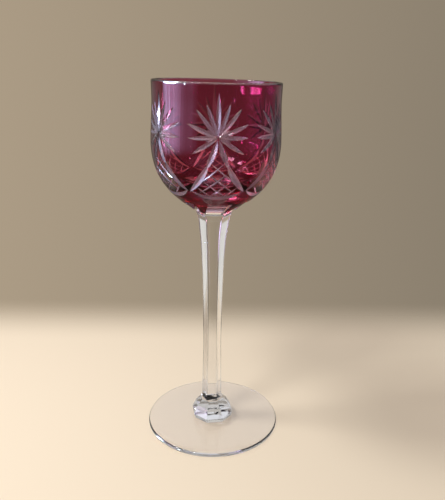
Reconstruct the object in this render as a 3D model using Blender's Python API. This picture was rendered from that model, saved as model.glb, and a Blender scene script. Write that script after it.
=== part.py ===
"""Hock wine glass: a ruby-cased bowl cut through to clear glass, on a six-sided stem with a faceted knop
and a round foot.

Metres, +Z up. The origin is on the table under the middle of the foot, and the front star faces -Y.
"""

import math

import bmesh
import bpy
import numpy as np
from mathutils import Vector
from mathutils.geometry import delaunay_2d_cdt, interpolate_bezier

# Foot: a thin turned disc that swells towards the knop's seat and is ground hollow underneath.
FOOT_RADIUS = 0.0390
FOOT_EDGE_THICKNESS = 0.0022
FOOT_EDGE_ROUND = 0.0007
FOOT_RISE = 0.0012
FOOT_SEAT_MARGIN = 0.0006
FOOT_HOLLOW_DEPTH = 0.0006
FOOT_REST_WIDTH = 0.0080

# Knop: three tiers of flat facets, with corner radii.
KNOP_SIDES = 8
KNOP_TURN = math.radians(8.0)
KNOP_BASE_RADIUS = 0.0114
KNOP_GIRDLE_RADIUS = 0.0122
KNOP_SHOULDER_RADIUS = 0.0099
KNOP_TOP_RADIUS = 0.0066
KNOP_BEVEL_HEIGHT = 0.0024
KNOP_FACET_HEIGHT = 0.0053
KNOP_TOP_HEIGHT = 0.0030

# Stem: six flat panels, with corner radii.
STEM_SIDES = 6
STEM_LENGTH = 0.1162
STEM_BASE_RADIUS = 0.0062
STEM_WAIST_RADIUS = 0.0055
STEM_WAIST_RISE = 0.0410
STEM_NECK_RADIUS = 0.0076
STEM_NECK_DROP = 0.0129
STEM_TOP_RADIUS = 0.0109
STEM_NECK_ANGLE = math.radians(85.0)
STEM_TOP_ANGLE = math.radians(70.0)
STEM_WAIST_HANDLE = 0.0140
STEM_NECK_HANDLE = 0.0105
STEM_TOP_HANDLE = 0.0045

# Bowl: outer outline from the rim down to the throat, where it meets the stem.
BOWL_HEIGHT = 0.0688
RIM_RADIUS = 0.0338
WAIST_RADIUS = 0.0336
WAIST_DROP = 0.0100
BELLY_RADIUS = 0.0344
BELLY_DROP = 0.0310
UNDER_RADIUS = 0.0190
UNDER_RISE = 0.0079
UNDER_ANGLE = math.radians(37.0)
THROAT_ANGLE = math.radians(60.0)
RIM_HANDLE = 0.0033
WAIST_HANDLE = 0.0055
BELLY_HANDLE = 0.0098
UNDER_HANDLE = 0.0155
FUNNEL_HANDLE = 0.0024
THROAT_HANDLE = 0.0050

# Walls: clear lining inside, ruby casing outside, and the thick floor of the bowl.
LINING_WALL = 0.0016
CASING_WALL = 0.0006
CASING_GAP = 0.0003
CASING_RIM_DROP = 0.0006
CASING_FOOT_RISE = 0.0022
FLOOR_THICKNESS = 0.0132
FLOOR_HANDLE = 0.0180
INNER_BELLY_HANDLE = 0.0200
RIM_ROUND = 0.0004
JOINT_GAP = 0.0003

# Flutes: six hollows ground through the ruby under the bowl, each the width of a stem panel.
FLUTE_TURN = math.radians(6.0)
FLUTE_REACH_RADIUS = 0.0189
FLUTE_WHEEL_RADIUS = 0.0150
FLUTE_WHEEL_WIDTH = 0.0150

# Cut pattern: six repeats of a star on two legs, which spread over a latticed tent and a swag.
REPEATS = 6
PATTERN_TURN = math.radians(2.0)
STAR_DROP = 0.0235
RAYS = (
    (0.0, 0.0193),
    (21.5, 0.0163),
    (41.0, 0.0170),
    (68.0, 0.0160),
    (92.0, 0.0150),
    (123.0, 0.0152),
)
RAY_WIDTH = 0.0024
LEAF_FULLNESS = 0.8
HUB_RADIUS = 0.0017
HUB_SIDES = 12
LEG_KNEE_ACROSS = 0.0055
LEG_KNEE_DROP = 0.0160
LEG_OVERLAP = 0.0024
LEG_WIDTH = 0.0031
SWAG_DROP = 0.0310
SWAG_SAG = 0.0044
SWAG_WIDTH = 0.0032
SWAG_FULLNESS = 0.6
KNOT_OVERLAP = 0.0016
LATTICE_FIRST_DROP = 0.0162
LATTICE_PITCH = 0.0066
LATTICE_LINES = 4
LATTICE_SLOPE = 1.10
LATTICE_WIDTH = 0.0012
LATTICE_DEPTH = 0.00035

# Fineness of the facets that stand for round surfaces.
TURN_STEPS = 60
CURVE_STEPS = 9
FOOT_CURVE_STEPS = 4
LINING_ROWS = 13
INNER_WALL_ROWS = 4
OUTLINE_STEPS = 60
LEAF_STEPS = 4
SWAG_STEPS = 8
STRIP_STEPS = 3
LINE_PROBES = 240
BACKING_SPACING = 0.0045
SEAM_REACH = 0.00001
LEVEL_REACH = 0.0003
FLAT_TOLERANCE = 0.000001
GRID_COLUMNS = 8
GRID_ROW_SPACING = 0.0058
GRID_CLEARANCE = 0.0013
FLUTE_WHEEL_STEPS = 40
SHARP_ANGLE = math.radians(30.0)

GLASS_IOR = 1.52

# Heights that follow from the sizes above.
KNOP_Z = FOOT_EDGE_THICKNESS + FOOT_RISE + JOINT_GAP
KNOP_HEIGHT = KNOP_BEVEL_HEIGHT + KNOP_FACET_HEIGHT + KNOP_TOP_HEIGHT
STEM_Z = KNOP_Z + KNOP_HEIGHT + JOINT_GAP
BOWL_Z = STEM_Z + STEM_LENGTH + JOINT_GAP
RIM_Z = BOWL_Z + BOWL_HEIGHT
REPEAT_ANGLE = math.tau / REPEATS
HALF_REPEAT = REPEAT_ANGLE / 2


def polar(angle, length):
    return Vector((math.cos(angle), math.sin(angle))) * length


def curve(start, start_handle, end_handle, end, steps):
    """Points of a Bezier curve, without its last one; handles are given from their own ends."""
    points = interpolate_bezier(start, start + start_handle, end + end_handle, end, steps + 1)
    return [Vector(point) for point in points[:-1]]


def bowl_outline(steps):
    """Outer outline of the bowl as (radius, height) points, from the rim down to the throat."""
    down = Vector((0, -1))
    rim = Vector((RIM_RADIUS, RIM_Z))
    waist = Vector((WAIST_RADIUS, RIM_Z - WAIST_DROP))
    belly = Vector((BELLY_RADIUS, RIM_Z - BELLY_DROP))
    under = Vector((UNDER_RADIUS, BOWL_Z + UNDER_RISE))
    throat = Vector((STEM_TOP_RADIUS, BOWL_Z))
    points = curve(rim, down * RIM_HANDLE, -down * RIM_HANDLE, waist, steps)
    points += curve(waist, down * WAIST_HANDLE, -down * WAIST_HANDLE, belly, steps)
    points += curve(belly, down * BELLY_HANDLE, polar(UNDER_ANGLE, UNDER_HANDLE), under, steps)
    funnel = -polar(UNDER_ANGLE, FUNNEL_HANDLE)
    points += curve(under, funnel, polar(THROAT_ANGLE, THROAT_HANDLE), throat, steps)
    return points + [throat]


OUTLINE = np.array(bowl_outline(OUTLINE_STEPS))
RUNS = np.concatenate([[0], np.cumsum(np.hypot(*np.diff(OUTLINE, axis=0).T))])
TANGENTS = np.gradient(OUTLINE, RUNS, axis=0)
CASING_FOOT_RUN = float(np.interp(-(BOWL_Z + CASING_FOOT_RISE), -OUTLINE[:, 1], RUNS))


def section(run, depth):
    """(radius, height) of the point a run below the rim along the outline, and a depth into the wall."""
    radius = np.interp(run, RUNS, OUTLINE[:, 0])
    height = np.interp(run, RUNS, OUTLINE[:, 1])
    along = Vector([np.interp(run, RUNS, TANGENTS[:, axis]) for axis in (0, 1)]).normalized()
    return Vector((radius + along.y * depth, height - along.x * depth))


def wrap(angle, run, depth):
    """Point on the bowl, with the angle counted from -Y towards +X."""
    radius, height = section(run, depth)
    return Vector((radius * math.sin(angle), -radius * math.cos(angle), height))


def glass_material(name, colour, roughness):
    material = bpy.data.materials.new(name)
    material.use_nodes = True
    shader = material.node_tree.nodes["Principled BSDF"]
    shader.inputs["Base Color"].default_value = colour
    shader.inputs["Roughness"].default_value = roughness
    shader.inputs["Metallic"].default_value = 0.0
    shader.inputs["Transmission Weight"].default_value = 1.0
    shader.inputs["IOR"].default_value = GLASS_IOR
    material.diffuse_color = colour
    return material


def add_object(name, mesh, material=None):
    thing = bpy.data.objects.new(name, mesh)
    bpy.context.scene.collection.objects.link(thing)
    if material and not mesh.materials:
        mesh.materials.append(material)
    return thing


def turned(name, outline, steps, material):
    """Solid of revolution; the outline runs from the axis over the top and down the outside."""
    mesh = bpy.data.meshes.new(name)
    edges = [(i, i + 1) for i in range(len(outline) - 1)]
    mesh.from_pydata([(radius, 0, height) for radius, height in outline], edges, [])
    thing = add_object(name, mesh, material)
    screw = thing.modifiers.new("turn", "SCREW")
    screw.axis = "Z"
    screw.angle = math.tau
    screw.steps = screw.render_steps = steps
    screw.use_merge_vertices = True
    screw.merge_threshold = SEAM_REACH
    screw.use_smooth_shade = steps == TURN_STEPS
    return thing


def build_foot(material):
    top = FOOT_EDGE_THICKNESS + FOOT_RISE
    seat = Vector((KNOP_BASE_RADIUS + FOOT_SEAT_MARGIN, top))
    brim = Vector((FOOT_RADIUS - FOOT_EDGE_ROUND, FOOT_EDGE_THICKNESS))
    reach = Vector(((brim.x - seat.x) / 3, 0))
    rest = FOOT_RADIUS - FOOT_EDGE_ROUND - FOOT_REST_WIDTH
    outline = [Vector((0, top))]
    outline += curve(seat, reach, -reach, brim, FOOT_CURVE_STEPS)
    outline += [
        brim,
        Vector((FOOT_RADIUS, FOOT_EDGE_THICKNESS - FOOT_EDGE_ROUND)),
        Vector((FOOT_RADIUS, FOOT_EDGE_ROUND)),
        Vector((FOOT_RADIUS - FOOT_EDGE_ROUND, 0)),
        Vector((rest, 0)),
        Vector((rest - FOOT_HOLLOW_DEPTH, FOOT_HOLLOW_DEPTH)),
        Vector((0, FOOT_HOLLOW_DEPTH)),
    ]
    return turned("foot", outline, TURN_STEPS, material)


def build_knop(material):
    girdle = KNOP_Z + KNOP_BEVEL_HEIGHT
    shoulder = girdle + KNOP_FACET_HEIGHT
    top = shoulder + KNOP_TOP_HEIGHT
    outline = [
        (0, top),
        (KNOP_TOP_RADIUS, top),
        (KNOP_SHOULDER_RADIUS, shoulder),
        (KNOP_GIRDLE_RADIUS, girdle),
        (KNOP_BASE_RADIUS, KNOP_Z),
        (0, KNOP_Z),
    ]
    knop = turned("knop", outline, KNOP_SIDES, material)
    knop.rotation_euler.z = math.pi / KNOP_SIDES + KNOP_TURN
    return knop


def build_stem(material):
    up = Vector((0, 1))
    base = Vector((STEM_BASE_RADIUS, STEM_Z))
    waist = Vector((STEM_WAIST_RADIUS, STEM_Z + STEM_WAIST_RISE))
    top = Vector((STEM_TOP_RADIUS, STEM_Z + STEM_LENGTH))
    neck = Vector((STEM_NECK_RADIUS, top.y - STEM_NECK_DROP))
    neck_way = polar(STEM_NECK_ANGLE, STEM_NECK_HANDLE)
    outline = [Vector((0, top.y))]
    outline += curve(top, -polar(STEM_TOP_ANGLE, STEM_TOP_HANDLE), neck_way, neck, CURVE_STEPS)
    outline += curve(neck, -neck_way, up * STEM_WAIST_HANDLE, waist, CURVE_STEPS)
    outline += curve(waist, -up * STEM_WAIST_HANDLE, up * STEM_WAIST_HANDLE, base, CURVE_STEPS)
    outline += [base, Vector((0, base.y))]
    return turned("stem", outline, STEM_SIDES, material)


def build_flute_wheels():
    """Grinding wheels, one for each flute; each passes a stem panel's head and the flute's end."""
    panel_head = Vector((STEM_TOP_RADIUS * math.cos(math.pi / STEM_SIDES), BOWL_Z))
    low = np.searchsorted(-OUTLINE[:, 0], -FLUTE_REACH_RADIUS)
    flute_end = Vector(OUTLINE[low])
    chord = flute_end - panel_head
    outward = Vector((chord.y, -chord.x)).normalized()
    middle = (panel_head + flute_end) / 2
    centre = middle + outward * math.sqrt(FLUTE_WHEEL_RADIUS**2 - (chord.length / 2) ** 2)
    wheels = []
    for index in range(STEM_SIDES):
        mesh = bpy.data.meshes.new("flute_wheel")
        form = bmesh.new()
        bmesh.ops.create_cone(
            form,
            cap_ends=True,
            segments=FLUTE_WHEEL_STEPS,
            radius1=FLUTE_WHEEL_RADIUS,
            radius2=FLUTE_WHEEL_RADIUS,
            depth=FLUTE_WHEEL_WIDTH,
        )
        form.to_mesh(mesh)
        form.free()
        wheel = add_object(f"flute_wheel_{index + 1}", mesh)
        angle = FLUTE_TURN + index * math.tau / STEM_SIDES
        wheel.location = (centre.x * math.sin(angle), -centre.x * math.cos(angle), centre.y)
        wheel.rotation_euler = (0, math.pi / 2, angle)
        wheel.hide_render = True
        wheel.display_type = "WIRE"
        wheels.append(wheel)
    return wheels


def grind_flutes(thing, wheels):
    for wheel in wheels:
        cut = thing.modifiers.new("flute", "BOOLEAN")
        cut.operation = "DIFFERENCE"
        cut.solver = "EXACT"
        cut.object = wheel


def build_lining(material, wheels):
    """Clear inner gather: the cup, its thick floor and the throat that the stem is stuck to."""
    skin = CASING_WALL + CASING_GAP
    wall = skin + LINING_WALL
    belly_run = float(np.interp(-(RIM_Z - BELLY_DROP), -OUTLINE[:, 1], RUNS))
    inner_belly = section(belly_run, wall)
    floor = Vector((0, BOWL_Z + FLOOR_THICKNESS))
    inside = Vector((0, INNER_BELLY_HANDLE))
    outline = curve(floor, Vector((FLOOR_HANDLE, 0)), -inside, inner_belly, CURVE_STEPS)
    outline += [section(run, wall) for run in np.linspace(belly_run, RIM_ROUND, INNER_WALL_ROWS)]
    outline[-1].y = RIM_Z - RIM_ROUND
    outline += [section(0, wall - RIM_ROUND), section(0, skin + RIM_ROUND)]
    for point in outline[-2:]:
        point.y = RIM_Z
    casing_runs = np.linspace(RIM_ROUND, CASING_FOOT_RUN + CASING_GAP, LINING_ROWS)
    outline += [section(run, skin) for run in casing_runs]
    outline += [section(CASING_FOOT_RUN + CASING_GAP, 0), Vector((STEM_TOP_RADIUS, BOWL_Z))]
    outline += [Vector((0, BOWL_Z))]
    lining = turned("bowl_lining", outline, TURN_STEPS, material)
    grind_flutes(lining, wheels)
    return lining


def leaf(start, end, width):
    """Outline of a wheel cut, pointed at both ends; points are (across, run) distances on the bowl."""
    start, end = Vector(start), Vector(end)
    side = Vector((start.y - end.y, end.x - start.x)).normalized() * width / 2
    stations = [step / LEAF_STEPS for step in range(LEAF_STEPS + 1)]
    swell = [math.sin(math.pi * share) ** LEAF_FULLNESS for share in stations]
    middles = [start.lerp(end, share) for share in stations]
    left = [middle + side * amount for middle, amount in zip(middles, swell)]
    right = [middle - side * amount for middle, amount in zip(middles, swell)]
    return left + right[-2:0:-1]


def radius_at(run):
    return float(np.interp(run, RUNS, OUTLINE[:, 0]))


def angled(points):
    """(across, run) distances turned into (angle, run)."""
    return [(point[0] / radius_at(point[1]), point[1]) for point in points]


def leg_centre(run):
    """Half the tent's width at a run: the middle line of the legs."""
    drops = (0, LEG_KNEE_DROP, SWAG_DROP)
    knot = HALF_REPEAT * radius_at(STAR_DROP + SWAG_DROP)
    return float(np.interp(run - STAR_DROP, drops, (0, LEG_KNEE_ACROSS, knot)))


def swag_run(angle):
    """Run of the swag's middle line at an angle from the star."""
    return STAR_DROP + SWAG_DROP + SWAG_SAG * (1 - (angle / HALF_REPEAT) ** 2)


def open_cuts():
    """Outlines, as (angle, run), of the cuts that go right through the ruby, for one repeat."""
    hub = Vector((0, STAR_DROP))
    hub_turns = [math.tau * (step + 0.5) / HUB_SIDES for step in range(HUB_SIDES)]
    cuts = [angled([hub + polar(turn, HUB_RADIUS) for turn in hub_turns])]
    for degrees, length in RAYS:
        for side in (-1, 1) if degrees else (1,):
            turn = side * math.radians(degrees)
            tip = hub + Vector((math.sin(turn), -math.cos(turn))) * length
            cuts.append(angled(leaf(hub, tip, RAY_WIDTH)))
    knee = Vector((LEG_KNEE_ACROSS, STAR_DROP + LEG_KNEE_DROP))
    knot_run = STAR_DROP + SWAG_DROP
    knot = Vector((leg_centre(knot_run), knot_run))
    upper_end = knee + (knee - hub).normalized() * LEG_OVERLAP
    lower_start = knee - (knot - knee).normalized() * LEG_OVERLAP
    lower_end = knot + (knot - knee).normalized() * KNOT_OVERLAP
    for leg in (leaf(hub, upper_end, LEG_WIDTH), leaf(lower_start, lower_end, LEG_WIDTH)):
        right = angled(leg)
        left = [(-angle, run) for angle, run in right]
        cuts += [left, right]
        cuts += [[(angle + REPEAT_ANGLE, run) for angle, run in left]]
        cuts += [[(angle - REPEAT_ANGLE, run) for angle, run in right]]
    return cuts + swag_outlines()


def swag_outlines():
    """The olive-shaped cut under a tent, and the ends of its two neighbours."""
    reach = HALF_REPEAT + KNOT_OVERLAP / radius_at(STAR_DROP + SWAG_DROP)
    angles = [reach * (2 * step / SWAG_STEPS - 1) for step in range(SWAG_STEPS + 1)]
    shares = [math.cos(math.pi / 2 * angle / reach) for angle in angles]
    shares[0] = shares[-1] = 0
    swell = [SWAG_WIDTH / 2 * share**SWAG_FULLNESS for share in shares]
    upper = [(angle, swag_run(angle) - amount) for angle, amount in zip(angles, swell)]
    lower = [(angle, swag_run(angle) + amount) for angle, amount in zip(angles, swell)]
    swag = upper + lower[-2:0:-1]
    return [[(angle + shift, run) for angle, run in swag] for shift in (0, -REPEAT_ANGLE, REPEAT_ANGLE)]


def lattice_lines():
    """Middle lines of the lattice as (across, run), each from one cut to another across the tent."""
    lines = []
    for index in range(LATTICE_LINES):
        crossing = STAR_DROP + LATTICE_FIRST_DROP + index * LATTICE_PITCH
        runs = np.linspace(STAR_DROP, STAR_DROP + SWAG_DROP + SWAG_SAG, LINE_PROBES)
        inside = []
        for run in runs:
            across = LATTICE_SLOPE * (run - crossing)
            if abs(across) < leg_centre(run) and run < swag_run(across / radius_at(run)):
                inside.append((across, run))
        for side in (-1, 1):
            lines.append([(side * across, run) for across, run in (inside[0], inside[-1])])
    return lines


def strip(line, shift):
    """One edge of a lattice cut, or its bottom where the shift is 0, as (angle, run)."""
    start, end = Vector(line[0]), Vector(line[1])
    side = Vector((start.y - end.y, end.x - start.x)).normalized() * shift
    stations = [step / STRIP_STEPS for step in range(STRIP_STEPS + 1)]
    return angled([start.lerp(end, share) + side for share in stations])


def lattice_depth(angle, run, lines):
    """Depth of the V-shaped lattice cuts at a point."""
    point = Vector((angle * radius_at(run), run))
    depth = 0.0
    for line in lines:
        start, end = Vector(line[0]), Vector(line[1])
        along = (end - start).normalized()
        reach = (point - start).dot(along)
        if 0 <= reach <= (end - start).length:
            away = (point - start - along * reach).length
            depth = max(depth, LATTICE_DEPTH * (1 - away / (LATTICE_WIDTH / 2)))
    return depth


def grid_points(outlines):
    """Points that keep the casing round between its cuts, clear of the cuts' outlines."""
    top = CASING_RIM_DROP
    rows = round((CASING_FOOT_RUN - top) / GRID_ROW_SPACING)
    runs = [top + (CASING_FOOT_RUN - top) * row / rows for row in range(rows + 1)]
    ends = [np.array(outline) for outline in outlines]
    scale = np.array([BELLY_RADIUS, 1])
    starts = np.concatenate(ends) * scale
    ways = np.concatenate([np.roll(end, -1, axis=0) for end in ends]) * scale - starts
    inner = []
    for run in runs[1:-1]:
        for column in range(1, GRID_COLUMNS):
            angle = HALF_REPEAT * (2 * column / GRID_COLUMNS - 1)
            offset = np.array([angle, run]) * scale - starts
            share = np.clip((offset * ways).sum(1) / (ways**2).sum(1), 0, 1)
            if np.linalg.norm(offset - ways * share[:, None], axis=1).min() > GRID_CLEARANCE:
                inner.append((angle, run))
    return runs, inner


def signed_area(outline):
    """Area of a flat outline, positive where it runs anticlockwise."""
    pairs = zip(outline, outline[1:] + outline[:1])
    return sum(first[0] * second[1] - second[0] * first[1] for first, second in pairs) / 2


def cut_sheet():
    """One repeat of the casing, cut: its points as (angle, run, depth), and its islands of triangles."""
    cuts = open_cuts()
    lines = lattice_lines()
    strips = [strip(line, shift * LATTICE_WIDTH / 2) for line in lines for shift in (-1, 0, 1)]
    runs, inner = grid_points(cuts + strips)
    sides = [-HALF_REPEAT, HALF_REPEAT]
    columns = [HALF_REPEAT * (2 * column / GRID_COLUMNS - 1) for column in range(1, GRID_COLUMNS)]
    border = [(sides[0], run) for run in runs] + [(angle, runs[-1]) for angle in columns]
    border += [(sides[1], run) for run in reversed(runs)]
    border += [(angle, runs[0]) for angle in reversed(columns)]
    flat, faces, edges = [], [], []
    for outline in [border] + cuts:
        corners = list(range(len(flat), len(flat) + len(outline)))
        faces.append(corners if signed_area(outline) > 0 else corners[::-1])
        flat += outline
    for line in strips:
        edges += [(len(flat) + step, len(flat) + step + 1) for step in range(len(line) - 1)]
        flat += line
    flat += inner
    plane = [Vector((angle * BELLY_RADIUS, run)) for angle, run in flat]
    places, _, triangles, _, _, origins = delaunay_2d_cdt(plane, edges, faces, 0, FLAT_TOLERANCE, True)
    points = []
    for place in places:
        angle, run = place.x / BELLY_RADIUS, place.y
        points.append((angle, run, lattice_depth(angle, run, lines)))
    kept = [triangle for triangle, origin in zip(triangles, origins) if set(origin) == {0}]
    return points, islands(kept)


def islands(triangles):
    """Groups of triangles that share edges, largest first."""
    owners = {}
    for index, triangle in enumerate(triangles):
        for corner, following in zip(triangle, triangle[1:] + triangle[:1]):
            owners.setdefault(frozenset((corner, following)), []).append(index)
    neighbours = {index: set() for index in range(len(triangles))}
    for owner in owners.values():
        for index in owner:
            neighbours[index].update(owner)
    groups, left = [], set(neighbours)
    while left:
        group, front = set(), {left.pop()}
        while front:
            group |= front
            front = {near for index in front for near in neighbours[index]} - group
        left -= group
        groups.append([triangles[index] for index in sorted(group)])
    return sorted(groups, key=len, reverse=True)


def backing(points, triangles):
    """Fewer triangles inside the same border, for the smooth back of a latticed island."""
    ways = {way for triangle in triangles for way in zip(triangle, triangle[1:] + triangle[:1])}
    following = {first: second for first, second in ways if (second, first) not in ways}
    border = [min(following)]
    while following[border[-1]] != border[0]:
        border.append(following[border[-1]])
    plane = {corner: Vector((points[corner][0] * BELLY_RADIUS, points[corner][1])) for corner in border}
    for corner in sorted({corner for triangle in triangles for corner in triangle} - set(border)):
        place = Vector((points[corner][0] * BELLY_RADIUS, points[corner][1]))
        if all((place - other).length > BACKING_SPACING for other in plane.values()):
            plane[corner] = place
    corners = list(plane)
    face = list(range(len(border)))
    made = delaunay_2d_cdt(list(plane.values()), [], [face], 0, FLAT_TOLERANCE, True)
    _, _, faces, sources, _, origins = made
    inside = [triangle for triangle, origin in zip(faces, origins) if origin]
    return [[corners[sources[corner][0]] for corner in triangle] for triangle in inside]


def shell_mesh(name, points, triangles, back_triangles, copies):
    """Closed shell between the bowl's outer surface and the casing's back, for so many repeats."""
    form = bmesh.new()
    angle_layer = form.verts.layers.float.new("angle")
    run_layer = form.verts.layers.float.new("run")
    used = sorted({corner for triangle in triangles for corner in triangle})
    back_faces = []
    for copy in range(copies):
        made = {}
        for corner in used:
            angle, run, depth = points[corner]
            angle += copy * REPEAT_ANGLE
            made[corner] = form.verts.new(wrap(angle, run, depth))
            made[corner][angle_layer] = angle
            made[corner][run_layer] = run
        for triangle in triangles:
            form.faces.new([made[corner] for corner in reversed(triangle)])
        back_faces += [[made[corner] for corner in triangle] for triangle in back_triangles]
    twins = bmesh.ops.find_doubles(form, verts=form.verts, dist=SEAM_REACH)["targetmap"]
    back_faces = [[twins.get(vert, vert) for vert in face] for face in back_faces]
    back_faces = [face for face in back_faces if len(set(face)) == len(face)]
    bmesh.ops.weld_verts(form, targetmap=twins)
    rims = [edge.link_loops[0] for edge in form.edges if edge.is_boundary]
    rims = [(loop.vert, loop.link_loop_next.vert) for loop in rims]
    backs = {}
    for vert in {vert for face in back_faces for vert in face}:
        backs[vert] = form.verts.new(wrap(vert[angle_layer], vert[run_layer], CASING_WALL))
    for face in back_faces:
        form.faces.new([backs[vert] for vert in face])
    for first, second in rims:
        form.faces.new([second, first, backs[first], backs[second]])
    bmesh.ops.recalc_face_normals(form, faces=form.faces)
    mesh = bpy.data.meshes.new(name)
    form.to_mesh(mesh)
    form.free()
    mesh.shade_smooth()
    mesh.set_sharp_from_angle(angle=SHARP_ANGLE)
    return mesh


def build_casing(material, wheels):
    """Ruby layer, left by the cutter as an upper field, six latticed tents and a collar."""
    points, groups = cut_sheet()
    field = next(group for group in groups if reaches(points, group, CASING_RIM_DROP))
    collar = next(group for group in groups if reaches(points, group, CASING_FOOT_RUN))
    tent = next(group for group in groups if group not in (field, collar))
    field_mesh = shell_mesh("ruby_field", points, field, field, REPEATS)
    collar_mesh = shell_mesh("ruby_collar", points, collar, collar, REPEATS)
    tent_mesh = shell_mesh("ruby_lattice", points, tent, backing(points, tent), 1)
    collar_piece = add_object("ruby_collar", collar_mesh, material)
    grind_flutes(collar_piece, wheels)
    pieces = [add_object("ruby_field", field_mesh, material), collar_piece]
    for index in range(REPEATS):
        piece = add_object(f"ruby_lattice_{index + 1}", tent_mesh, material)
        piece.rotation_euler.z = index * REPEAT_ANGLE
        pieces.append(piece)
    for piece in pieces:
        piece.rotation_euler.z += PATTERN_TURN
    return pieces


def reaches(points, group, run):
    """True if an island touches the level at a run below the rim."""
    return any(abs(points[corner][1] - run) < LEVEL_REACH for face in group for corner in face)


def build_glass():
    for thing in list(bpy.data.objects):
        bpy.data.objects.remove(thing)
    crystal = glass_material("clear_crystal", (0.96, 0.97, 0.97, 0.25), 0.02)
    ruby = glass_material("ruby_glass", (0.32, 0.02, 0.05, 0.75), 0.03)
    stand = bpy.data.objects.new("wine_glass", None)
    bpy.context.scene.collection.objects.link(stand)
    wheels = build_flute_wheels()
    pieces = [build_foot(crystal), build_knop(crystal), build_stem(crystal)]
    pieces += [build_lining(crystal, wheels)]
    pieces += build_casing(ruby, wheels)
    for piece in pieces + wheels:
        piece.parent = stand


build_glass()
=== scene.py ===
import math
import random

import bpy
import numpy as np
from mathutils import Matrix, Vector
from mathutils.geometry import interpolate_bezier


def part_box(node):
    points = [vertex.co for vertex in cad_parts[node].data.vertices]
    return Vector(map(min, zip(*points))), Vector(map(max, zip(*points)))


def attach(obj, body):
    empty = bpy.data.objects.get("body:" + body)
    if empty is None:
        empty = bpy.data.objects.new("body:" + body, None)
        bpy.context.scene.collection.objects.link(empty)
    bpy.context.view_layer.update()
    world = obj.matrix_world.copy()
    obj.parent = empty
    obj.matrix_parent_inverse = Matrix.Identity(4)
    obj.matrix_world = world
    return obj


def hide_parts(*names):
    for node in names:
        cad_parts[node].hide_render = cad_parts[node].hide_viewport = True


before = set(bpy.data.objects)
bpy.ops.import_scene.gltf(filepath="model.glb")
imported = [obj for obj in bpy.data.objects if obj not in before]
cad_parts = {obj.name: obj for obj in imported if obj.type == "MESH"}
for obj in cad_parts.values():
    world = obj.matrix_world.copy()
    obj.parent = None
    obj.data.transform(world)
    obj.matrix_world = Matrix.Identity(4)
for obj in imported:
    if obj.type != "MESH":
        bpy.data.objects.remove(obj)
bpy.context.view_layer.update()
scene = bpy.context.scene
scene.view_settings.view_transform = "Standard"

# Foot: a thin disc of clear crystal, spun flat while hot, so that it swells a little towards the middle.
# Its edge is fire-polished, its underside is ground hollow, and the knop is fused to its middle.
foot_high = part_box("foot")[1]
FOOT_SIDES = 192
FOOT_RADIUS = foot_high.x
FOOT_EDGE = 0.0022
FOOT_EDGE_ROUND = 0.0010
FOOT_ROUND_STEPS = 6
FOOT_SLOPE_STEPS = 16
FOOT_HANDLE_PARTS = 3
FOOT_SMOOTH_ANGLE = math.radians(30.0)
FOOT_RIPPLE = {"scale": 60.0, "stretch": (1, 1, 1), "strength": 0.12}
FOOT_HOLLOW = 0.0006
FOOT_REST_WIDTH = 0.0080
FOOT_EYE = 0.0005
FOOT_SEAT_RADIUS = 0.0120
KNOP_SIDES = 8
KNOP_BASE_RADIUS = 0.0117
KNOP_TURN = math.pi / KNOP_SIDES + math.radians(8.0)
FUSED_GAP = 0.00001
FUSED_INDEX = 1
KNOP_SEAT_Z = foot_high.z
CRYSTAL_TINT = (0.985, 0.985, 0.985, 1.0)
FOOT_SHADE = (0.935, 0.93, 0.935, 1.0)
CRYSTAL_SHADE = (0.66, 0.65, 0.66, 1.0)
CRYSTAL_IOR = 1.54
POLISH_CLOUDS = {"Scale": 35.0, "Detail": 3.0}
POLISH_CLOUD_RANGE = (0.35, 0.75)
POLISH_ROUGHNESS = 0.012
RIPPLE_DEPTH = 0.0004
RIPPLE_DETAIL = 1.0
LEVEL_NORMAL = 0.999
LEAN_HEIGHTS = (0.0030, 0.0034, 0.0144, 0.1180, 0.1315, 0.1420, 0.2000)
LEAN_SHIFTS = (0.0, -0.0002, -0.0007, -0.0008, -0.0003, 0.0, 0.0003)
DIP_HEIGHTS = (0.1420, 0.2000)
DIP_SLOPES = (0.0, 0.0165)


def bezier(start, start_handle, end_handle, end, steps):
    """Points of a Bezier curve, without its last one; handles are given from their own ends."""
    start, end = Vector(start), Vector(end)
    handles = start + Vector(start_handle), end + Vector(end_handle)
    points = interpolate_bezier(start, *handles, end, steps + 1)
    return [Vector(point) for point in points[:-1]]


def arc(centre, radius, first_degrees, last_degrees, steps):
    """Points of a round edge in the outline's plane."""
    turns = np.radians(np.linspace(first_degrees, last_degrees, steps + 1))
    return [
        Vector((centre[0] + radius * math.cos(turn), centre[1] + radius * math.sin(turn)))
        for turn in turns
    ]


def lathe(name, outline, sides, turn=0.0):
    """A closed turned form: a filled ring, drawn out ring by ring along (radius, height) points."""
    bpy.ops.object.select_all(action="DESELECT")
    radius, height = outline[0]
    bpy.ops.mesh.primitive_circle_add(
        vertices=sides,
        radius=radius,
        fill_type="NGON",
        location=(0, 0, height),
        rotation=(0, 0, turn),
        enter_editmode=True,
    )
    for next_radius, next_height in outline[1:]:
        bpy.ops.mesh.extrude_region_move(TRANSFORM_OT_translate={"value": (0, 0, next_height - height)})
        share = next_radius / radius
        bpy.ops.transform.resize(value=(share, share, 1), center_override=(0, 0, next_height))
        radius, height = next_radius, next_height
    bpy.ops.mesh.select_all(action="SELECT")
    bpy.ops.mesh.normals_make_consistent(inside=False)
    bpy.ops.object.mode_set(mode="OBJECT")
    bpy.ops.object.transform_apply(location=True, rotation=True, scale=True)
    piece = bpy.context.object
    piece.name = name
    return piece


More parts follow.
